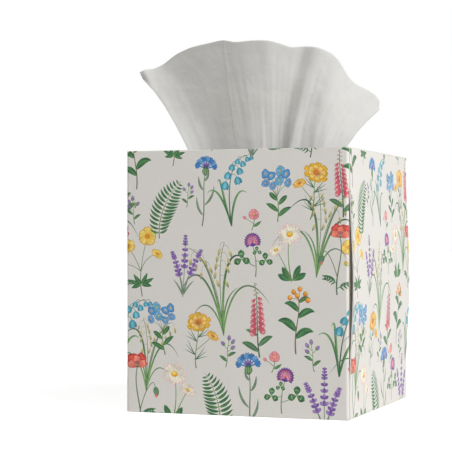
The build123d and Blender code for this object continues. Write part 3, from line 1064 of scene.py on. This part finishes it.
# Free edges of the tissue. The top edge runs from the left corner to the right one: place across, height
# above the carton. The side edges flare: share of their height, share of their reach
TOP_EDGE = (
    (-69.0, 43.5), (-66.5, 44.8), (-61.5, 45.0), (-56.5, 47.5), (-49.5, 52.3), (-42.0, 55.0),
    (-34.0, 56.3), (-23.5, 57.8), (-18.0, 56.0), (-8.0, 56.6), (-1.0, 56.3), (5.0, 55.0), (11.0, 52.8),
    (17.5, 53.6), (24.5, 52.8), (31.0, 50.2), (35.5, 45.6), (39.0, 39.0), (42.0, 35.6), (50.0, 31.9),
    (53.6, 29.3), (55.8, 26.4), (54.4, 22.6),
)
LEFT_FLARE = (
    (0.0, 0.0), (0.35, 0.26), (0.54, 0.435), (0.70, 0.605), (0.82, 0.755), (0.94, 0.955), (1.0, 1.0),
)
RIGHT_FLARE = ((0.0, 0.0), (0.39, 0.16), (0.53, 0.285), (0.69, 0.48), (0.84, 0.71), (1.0, 1.0))

# How the fan stands: its turn in degrees, its shift back, and the reach of its foot and of its spread
FAN_TURN = 14.0
FAN_SHIFT = -2.0
FOOT_LEFT, FOOT_RIGHT, FOOT_DROP = -36.0, 33.0, 14.5
SPREAD_LEFT, SPREAD_RIGHT, SPREAD_RISE = -80.0, 66.0, 64.0

# Fine pleats: waves across and up, where in the noise, millimetres deep at the foot, and lost by the top
PLEATS = ((21, 1.1, 4.7, 0.5, 0.3), (46, 1.6, 9.1, 0.2, 0.1))

# The pleats are faint on the smooth left part: their share there, and the shares across where they grow
PLEAT_LEAST = 0.3
PLEAT_START = 0.28
PLEAT_GROWTH = 0.15

# Crumple of the open part: waves in a millimetre, where in the noise, millimetres deep at the top
CRUMPLE_WAVES = 0.09
CRUMPLE_WHERE = 2.3
CRUMPLE_DEPTH = 0.5

# Curl of the left corner: its place and its fade up the edge as shares, its breadth and how far back it goes
CURL_PLACE = 0.95
CURL_FADE = 0.05
CURL_BREADTH = 1.3
CURL_BACK = 2.0


def fan_place(place, rise):
    """How far up the fan a point on its plane lies and its place across, as shares."""
    up = (rise + FOOT_DROP) / (SPREAD_RISE + FOOT_DROP)
    left = FOOT_LEFT + (SPREAD_LEFT - FOOT_LEFT) * up
    right = FOOT_RIGHT + (SPREAD_RIGHT - FOOT_RIGHT) * up
    return up, (place - left) / (right - left)


def folded(up, share):
    """Millimetres behind the fan's plane: straight flanks between the folds, rounded where they meet."""
    foot, spread, foot_depth, spread_depth, foot_soft, spread_soft = np.array(FOLDS).T[:, :, None]
    place = foot + (spread - foot) * up
    depth = foot_depth + (spread_depth - foot_depth) * up ** DEPTH_GROWTH
    soft = np.maximum(foot_soft + (spread_soft - foot_soft) * up, LEAST_SOFT)
    slope = np.diff(depth, axis=0) / np.diff(place, axis=0)
    past = share - place
    turned = np.diff(slope, axis=0) * (past[1:-1] + np.hypot(past[1:-1], soft[1:-1])) / 2
    return depth[0] + slope[0] * past[0] + turned.sum(axis=0)


def eased(values, reach=3.0, half=9):
    """The same row of values with its corners rounded over a few columns and its ends kept."""
    span = np.arange(-half, half + 1)
    kernel = np.exp(-0.5 * (span / reach) ** 2)
    row = np.pad(values, half, mode="reflect", reflect_type="odd")
    return np.convolve(row, kernel / kernel.sum(), mode="valid")


class TISSUEBOX_OT_tissue(bpy.types.Operator):
    """Stand the pulled tissue in the opening"""

    bl_idname = "tissue_box.tissue"
    bl_label = "Pulled Tissue"

    def execute(self, context):
        settings = context.scene.tissue_box_tissue
        edge = np.array(TOP_EDGE)
        shares = fan_place(edge[:, 0], edge[:, 1])[1]
        columns, rows = settings.columns, settings.rows
        across = np.linspace(shares[0], shares[-1], columns)
        top_x = eased(np.interp(across, shares, edge[:, 0]))
        top_z = eased(np.interp(across, shares, edge[:, 1]))
        even = np.linspace(0, 1, columns)
        foot_x = FOOT_LEFT + (FOOT_RIGHT - FOOT_LEFT) * even
        turn = math.radians(FAN_TURN)
        pleated = PLEAT_LEAST + (1 - PLEAT_LEAST) * np.clip((across - PLEAT_START) / PLEAT_GROWTH, 0, 1)
        points = []
        for j in range(rows):
            t = j / (rows - 1)
            rise = -FOOT_DROP + (top_z + FOOT_DROP) * t
            left, right = (np.interp(t, *np.array(table).T) for table in (LEFT_FLARE, RIGHT_FLARE))
            x = foot_x + (top_x - foot_x) * (left + (right - left) * even)
            up, share = fan_place(x, rise)
            behind = folded(up, share) * settings.depth
            line = PRESSED_CREASE[0] + (PRESSED_CREASE[1] - PRESSED_CREASE[0]) * up
            reach = (share - line) * (SPREAD_RIGHT - SPREAD_LEFT)
            crease = CREASE_HEIGHT * (CREASE_FOOT + (1 - CREASE_FOOT) * t)
            behind -= crease * np.exp(-(reach / CREASE_BREADTH) ** 2)
            curl = np.exp(-(((x - x[0]) / CURL_BREADTH) ** 2))
            behind += CURL_BACK * (curl * math.exp(-(((t - CURL_PLACE) / CURL_FADE) ** 2)))
            for i in range(columns):
                pleat = 0.0
                for wide, tall, where, deep, lost in PLEATS:
                    pleat += noise.noise(Vector((across[i] * wide, t * tall, where))) * (deep - lost * t)
                spot = Vector((x[i] * CRUMPLE_WAVES, rise[i] * CRUMPLE_WAVES, CRUMPLE_WHERE))
                behind[i] += pleat * pleated[i] + noise.noise(spot) * CRUMPLE_DEPTH * t
            px = x * math.cos(turn) - behind * math.sin(turn)
            py = x * math.sin(turn) + behind * math.cos(turn) + FAN_SHIFT
            points.append(np.column_stack((px, py, rise + HEIGHT)))
        points = np.concatenate(points)
        faces = [
            (j * columns + i, j * columns + i + 1, (j + 1) * columns + i + 1, (j + 1) * columns + i)
            for j in range(rows - 1) for i in range(columns - 1)
        ]
        # Painted light: the foot's colour is a fifth lighter, against the shade of the opening
        paper = creped_tissue(
            "creped_three_ply_tissue", settings.white, settings.through, rumple=0.45, foot_painted_light=1.2,
        )
        piece = new_piece("tissue_standing", points, faces, paper, 180)
        thick = piece.modifiers.new("plies", "SOLIDIFY")
        thick.thickness = settings.thickness
        thick.offset = 0.0
        bpy.context.view_layer.objects.active = piece
        with context.temp_override(object=piece, active_object=piece, selected_objects=[piece]):
            bpy.ops.object.modifier_apply(modifier="plies")
        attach(piece, "root")
        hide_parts("pulled_tissue")
        return {"FINISHED"}


# Clip of tissues, in millimetres, as the solid has it
STACK_HALF_WIDTH = 54.5
STACK_CROWN = 112.0
STACK_FLOOR = 1.5
STACK_HALF_DEPTH = 50.0
STACK_SHOULDER = 20.0
STACK_BEND = 44.0
LEG_GAP = 2.0

# Page edges through the clip's thickness, how deep the grooves between them are, and points front to back
PAGE_EDGES = 34
GROOVE = 1.0
DEPTH_POINTS = 15

# Points along a page: up each leg, round each shoulder and over the crown
LEG_POINTS = 10
SHOULDER_POINTS = 9
CROWN_POINTS = 13

# Shares at which a page edge starts and ends, how far its place slips, and how far the outer page sags
PAGE_START = 0.06
PAGE_END = 0.94
PAGE_SLIP = 0.6
PAGE_SAG = 0.5


class TISSUEBOX_OT_clip(bpy.types.Operator):
    """Fold the clip of tissues into the carton"""

    bl_idname = "tissue_box.clip"
    bl_label = "Clip of Tissues"

    def execute(self, context):
        settings = context.scene.tissue_box_tissue
        draw = random.Random(11)
        inner = STACK_HALF_WIDTH - LEG_GAP / 2
        depth_rows, ends = [], []
        for k in range(PAGE_EDGES):
            shift = draw.uniform(0.0, PAGE_SLIP)
            for edge in (k + PAGE_START, k + PAGE_END):
                depth_rows.append(inner * edge / PAGE_EDGES)
                ends.append(shift)
            if k < PAGE_EDGES - 1:
                depth_rows.append(inner * (k + 1.0) / PAGE_EDGES)
                ends.append(GROOVE)
        depth_rows[0], depth_rows[-1] = 0.0, inner
        profile = []
        for depth in depth_rows:
            half = STACK_HALF_WIDTH - depth
            crown = STACK_CROWN - depth * STACK_BEND / inner
            radius = max(STACK_SHOULDER * (1 - depth / inner), 0.4)
            turn = np.linspace(0, np.pi / 2, SHOULDER_POINTS)
            bend_x = -half + radius - radius * np.cos(turn)
            bend_z = crown - radius + radius * np.sin(turn)
            rise = np.linspace(STACK_FLOOR, crown - radius, LEG_POINTS)[:-1]
            flat = np.linspace(-half + radius, half - radius, CROWN_POINTS)[1:-1]
            leg = np.column_stack((np.full(len(rise), -half), rise))
            roof = np.column_stack((flat, np.full(len(flat), crown)))
            half_path = np.concatenate((leg, np.column_stack((bend_x, bend_z))))
            profile.append(np.concatenate((half_path, roof, half_path[::-1] * (-1, 1))))
        profile = np.array(profile)
        rows, count = profile.shape[:2]
        levels = np.linspace(-1, 1, DEPTH_POINTS)
        index = {}
        points, faces = [], []

        def point(d, a, y):
            key = (d, a, y)
            if key not in index:
                index[key] = len(points)
                x, z = profile[d, a]
                reach = levels[y] * (STACK_HALF_DEPTH - (ends[d] if abs(levels[y]) == 1 else 0.0))
                if d == 0:
                    sag = PAGE_SAG * abs(noise.noise(Vector((x * 0.05, reach * 0.06, 1.7))))
                    z -= sag * (z > STACK_FLOOR)
                points.append((x, reach, z))
            return index[key]

        def quad(*corners, flip=False):
            made = [point(*corner) for corner in corners]
            faces.append(made[::-1] if flip else made)

        # Page edges before and behind, then the outer and the inner page, then the foot of each leg
        last, back = rows - 1, DEPTH_POINTS - 1
        for d in range(last):
            for a in range(count - 1):
                quad((d, a, 0), (d, a + 1, 0), (d + 1, a + 1, 0), (d + 1, a, 0))
                quad((d, a, back), (d + 1, a, back), (d + 1, a + 1, back), (d, a + 1, back))
        for a in range(count - 1):
            for y in range(back):
                quad((0, a, y), (0, a, y + 1), (0, a + 1, y + 1), (0, a + 1, y))
                quad((last, a, y), (last, a + 1, y), (last, a + 1, y + 1), (last, a, y + 1))
        for a in (0, count - 1):
            for d in range(last):
                for y in range(back):
                    quad((d, a, y), (d + 1, a, y), (d + 1, a, y + 1), (d, a, y + 1), flip=a > 0)
        pages = creped_tissue("interfolded_tissue_pages", settings.white, through=0.1, rumple=1.6)
        piece = new_piece("tissue_clip", points, faces, pages, 35)
        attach(piece, "root")
        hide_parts("tissue_stack")
        return {"FINISHED"}


# Stage, in metres: half the side of the sweep, how far it lies under the object, and where the lamps aim
SWEEP_HALF_SIDE = 6.0
SWEEP_DROP = 0.0002
AIM = (0.0, 0.0, 0.09)
WHITE = (1, 1, 1, 1)

# A large soft lamp at the right, a little in front and above, and wide weaker ones before and behind:
# name, the setting that holds its power, metres across, place
LAMPS = (
    ("soft_key", "key", 1.1, (1.40, -0.53, 0.98)),
    ("front_fill", "front", 2.0, (0.25, -1.65, 1.70)),
    ("back_fill", "back", 2.0, (-1.55, 1.45, 1.20)),
)

# View fitted to the corners of the carton: place in metres, tilt and turn in degrees, film in millimetres
VIEW_PLACE = (0.2555, -0.7691, 0.0865)
VIEW_TILT = 90.27
VIEW_TURN = 20.04
FILM_WIDTH = 36.0


def soft_lamp(name, power, across, place):
    """A round area lamp aimed at the middle of the object."""
    lamp = bpy.data.lights.new(name, "AREA")
    lamp.shape = "DISK"
    lamp.size = across
    lamp.energy = power
    stand = bpy.data.objects.new(name, lamp)
    stand.location = place
    aim = Vector(AIM) - stand.location
    stand.rotation_euler = aim.to_track_quat("-Z", "Y").to_euler()
    bpy.context.scene.collection.objects.link(stand)


def seen_by_eye(tree):
    """1 for what the eye sees, straight, mirrored or through something clear, and 0 for other rays."""
    rays = add_node(tree, "ShaderNodeLightPath").outputs
    seen = rays["Is Camera Ray"]
    for kind in ("Is Glossy Ray", "Is Transmission Ray"):
        either = add_node(tree, "ShaderNodeMath", {"operation": "MAXIMUM"}, {0: seen, 1: rays[kind]})
        seen = either.outputs[0]
    return seen


def matt_white_sweep(floor):
    """Matt white paper sweep: lit by the lamps, and lifted to white for the eye where no shadow falls."""
    material, tree, place = new_material("matt_white_sweep")
    body = add_node(tree, "ShaderNodeBsdfPrincipled", None, {
        "Base Color": floor, "Roughness": ranged(tree, noise_field(tree, place, 40.0, 2.0), 0.8, 0.95),
        "Specular IOR Level": 0.1,
    })
    # The lift grows away from the object, so that the far floor melts into the white behind it
    away = add_node(tree, "ShaderNodeVectorMath", {"operation": "LENGTH"}, {0: place}).outputs["Value"]
    white = ranged(tree, away, 0.66, 1.0, 0.12, 0.6)
    lift = add_node(tree, "ShaderNodeMath", {"operation": "MULTIPLY"}, {0: seen_by_eye(tree), 1: white})
    glow = add_node(tree, "ShaderNodeEmission", None, {"Color": WHITE, "Strength": lift.outputs[0]})
    both = add_node(tree, "ShaderNodeAddShader", None, {0: body.outputs[0], 1: glow.outputs[0]})
    add_node(tree, "ShaderNodeOutputMaterial", None, {"Surface": both.outputs[0]})
    return material


def studio_world(fill):
    """White all round for the eye, and an even fill for the object."""
    world = bpy.data.worlds.new("studio")
    world.use_nodes = True
    tree = world.node_tree
    tree.nodes.clear()
    even = add_node(tree, "ShaderNodeBackground", None, {"Color": WHITE, "Strength": fill}).outputs[0]
    white = add_node(tree, "ShaderNodeBackground", None, {"Color": WHITE, "Strength": 1.0}).outputs[0]
    mixed = add_node(tree, "ShaderNodeMixShader", None, {0: seen_by_eye(tree), 1: even, 2: white})
    tree.nodes.active = add_node(tree, "ShaderNodeOutputWorld", None, {"Surface": mixed.outputs[0]})
    return world


class TISSUEBOX_OT_stage(bpy.types.Operator):
    """Set the floor, the light and the view"""

    bl_idname = "tissue_box.stage"
    bl_label = "Stage"

    def execute(self, context):
        settings = context.scene.tissue_box_stage
        scene = context.scene
        scene.view_settings.view_transform = "Standard"
        side = SWEEP_HALF_SIDE
        corners = [(-side, -side, 0), (side, -side, 0), (side, side, 0), (-side, side, 0)]
        mesh = bpy.data.meshes.new("sweep")
        mesh.from_pydata(corners, [], [(0, 1, 2, 3)])
        mesh.materials.append(matt_white_sweep(settings.floor))
        sweep = bpy.data.objects.new("sweep", mesh)
        sweep.location.z = -SWEEP_DROP
        scene.collection.objects.link(sweep)
        scene.world = studio_world(settings.fill)
        for name, power, across, place in LAMPS:
            soft_lamp(name, getattr(settings, power), across, place)
        view = bpy.data.cameras.new("view")
        view.lens = settings.lens
        view.sensor_width = FILM_WIDTH
        camera = bpy.data.objects.new("view", view)
        camera.location = VIEW_PLACE
        camera.rotation_euler = Euler((math.radians(VIEW_TILT), 0.0, math.radians(VIEW_TURN)))
        scene.collection.objects.link(camera)
        scene.camera = camera
        return {"FINISHED"}


class TISSUEBOX_PT_panel(bpy.types.Panel):
    """Lists the pieces of the tissue box and their settings"""

    bl_idname = "TISSUEBOX_PT_panel"
    bl_label = "Tissue Box"
    bl_space_type = "VIEW_3D"
    bl_region_type = "UI"
    bl_category = "Tissue Box"

    def draw(self, context):
        scene = context.scene
        for operator in (TISSUEBOX_OT_stage, TISSUEBOX_OT_carton, TISSUEBOX_OT_clip, TISSUEBOX_OT_tissue):
            self.layout.operator(operator.bl_idname)
        for group in (scene.tissue_box_carton, scene.tissue_box_tissue, scene.tissue_box_stage):
            box = self.layout.box()
            for name in group.__annotations__:
                box.prop(group, name)


CLASSES = (
    CartonSettings,
    TissueSettings,
    StageSettings,
    TISSUEBOX_OT_stage,
    TISSUEBOX_OT_carton,
    TISSUEBOX_OT_clip,
    TISSUEBOX_OT_tissue,
    TISSUEBOX_PT_panel,
)


def register():
    for kind in CLASSES:
        bpy.utils.register_class(kind)
    bpy.types.Scene.tissue_box_carton = PointerProperty(type=CartonSettings)
    bpy.types.Scene.tissue_box_tissue = PointerProperty(type=TissueSettings)
    bpy.types.Scene.tissue_box_stage = PointerProperty(type=StageSettings)


def unregister():
    del bpy.types.Scene.tissue_box_stage
    del bpy.types.Scene.tissue_box_tissue
    del bpy.types.Scene.tissue_box_carton
    for kind in reversed(CLASSES):
        bpy.utils.unregister_class(kind)


def main():
    register()
    bpy.ops.tissue_box.stage()
    bpy.ops.tissue_box.carton()
    bpy.ops.tissue_box.clip()
    bpy.ops.tissue_box.tissue()


if __name__ == "__main__":
    main()
